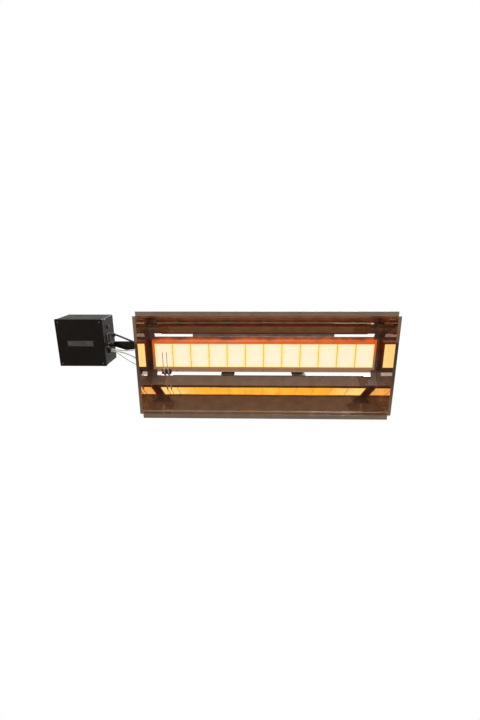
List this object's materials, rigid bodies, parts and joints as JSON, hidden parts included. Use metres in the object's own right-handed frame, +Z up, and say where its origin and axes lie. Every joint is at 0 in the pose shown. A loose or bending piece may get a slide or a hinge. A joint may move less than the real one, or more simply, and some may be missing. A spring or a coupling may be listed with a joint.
{
  "type": "gas infrared heater",
  "caption": "Wall-hung gas infrared heater: glowing ceramic plaques in a polished trapezoidal reflector, tilting bracket, control box on an arm.",
  "frame": {"origin": "centre of the wall bracket's four bolt holes, on the wall face", "axes": "+X along the heater, +Y into the wall, +Z up; the opening faces -Y"},
  "size_m": [1.6677, 0.44, 0.527],
  "materials": {
    "polished_steel": "polished heat-tinted stainless sheet",
    "rivet_steel": "dull steel rivets",
    "dark_steel": "heat-darkened steel",
    "burner_steel": "heat-stained steel",
    "fasteners": "zinc plated",
    "plaque_ceramic": "perforated ceramic, glowing",
    "gasket_fibre": "ceramic fibre",
    "brass": "turned brass",
    "pipe_steel": "dark coated pipe",
    "electrode_wire": "heat-resistant wire and sheet",
    "insulator_ceramic": "glazed white ceramic",
    "black_enamel": "fine textured black powder coat",
    "plate_grey": "blank anodised plate",
    "button_red": "gloss moulded",
    "black_plastic": "matt moulded",
    "socket_grey": "matt moulded",
    "spring_steel": "bright wire",
    "valve_aluminium": "die cast",
    "coil_plastic": "moulded coil",
    "lead_silicone": "white silicone and glass sleeve",
    "earth_sleeve": "grey sleeve"
  },
  "bodies": {
    "wall_mount": {"wall_bracket": "black_enamel", "pivot_bolts": "fasteners", "pivot_nuts": "fasteners"},
    "shutter": {"air_shutter": "burner_steel"},
    "reset": {"reset_button": "button_red"},
    "plungers": {"valve_plungers": "spring_steel"},
    "heater": {"box_body": "black_enamel", "box_cover": "black_enamel", "box_screws": "fasteners", "bracket_bolts": "fasteners", "burner_end_bracket_left": "dark_steel", "burner_end_bracket_right": "dark_steel", "burner_frame": "burner_steel", "burner_housing": "burner_steel", "cable_gland": "black_plastic", "ceramic_plaque_01": "plaque_ceramic", "ceramic_plaque_02": "plaque_ceramic", "ceramic_plaque_03": "plaque_ceramic", "ceramic_plaque_04": "plaque_ceramic", "ceramic_plaque_05": "plaque_ceramic", "ceramic_plaque_06": "plaque_ceramic", "ceramic_plaque_07": "plaque_ceramic", "ceramic_plaque_08": "plaque_ceramic", "ceramic_plaque_09": "plaque_ceramic", "ceramic_plaque_10": "plaque_ceramic", "ceramic_plaque_11": "plaque_ceramic", "ceramic_plaque_12": "plaque_ceramic", "earth_lead": "earth_sleeve", "earth_stud": "fasteners", "electrode_bracket": "electrode_wire", "electrode_insulators": "insulator_ceramic", "frame_screws": "fasteners", "friction_washers": "fasteners", "gas_inlet_union": "brass", "gas_pipe": "pipe_steel", "gas_valve_body": "valve_aluminium", "ignition_controller": "socket_grey", "ignition_electrode": "electrode_wire", "ignition_lead": "lead_silicone", "injector": "brass", "mixing_tube": "burner_steel", "nameplate": "plate_grey", "pipe_nuts": "fasteners", "plaque_gasket": "gasket_fibre", "power_inlet": "socket_grey", "rear_rail": "dark_steel", "reflector_bottom_panel": "polished_steel", "reflector_end_left": "polished_steel", "reflector_end_right": "polished_steel", "reflector_rivets": "rivet_steel", "reflector_top_panel": "polished_steel", "reset_bezel": "black_plastic", "reset_spring": "spring_steel", "saddle_bracket_left": "dark_steel", "saddle_bracket_right": "dark_steel", "sensing_electrode": "electrode_wire", "sensing_lead": "lead_silicone", "support_arm": "black_enamel", "valve_coils": "coil_plastic", "valve_springs": "spring_steel"}
  },
  "joints": [
    {"name": "tilt", "type": "hinge", "parent": "wall_mount", "child": "heater", "pos_m": [0, -0.08, 0], "axis": [1, 0, 0], "range_deg": [0, 45]},
    {"name": "air_shutter_turn", "type": "hinge", "parent": "heater", "child": "shutter", "pos_m": [-0.6111, -0.178, 0], "axis": [1, 0, 0], "range_deg": [0, 45]},
    {"name": "reset_press", "type": "slide", "parent": "heater", "child": "reset", "axis": [-1, 0, 0], "range_m": [0, 0.003], "stiffness_N_per_m": 400, "springref_m": -0.002},
    {"name": "valve_lift", "type": "slide", "parent": "heater", "child": "plungers", "axis": [0, 0, 1], "range_m": [0, 0.003], "stiffness_N_per_m": 300, "springref_m": -0.003, "deforming": ["valve_springs"]}
  ]
}
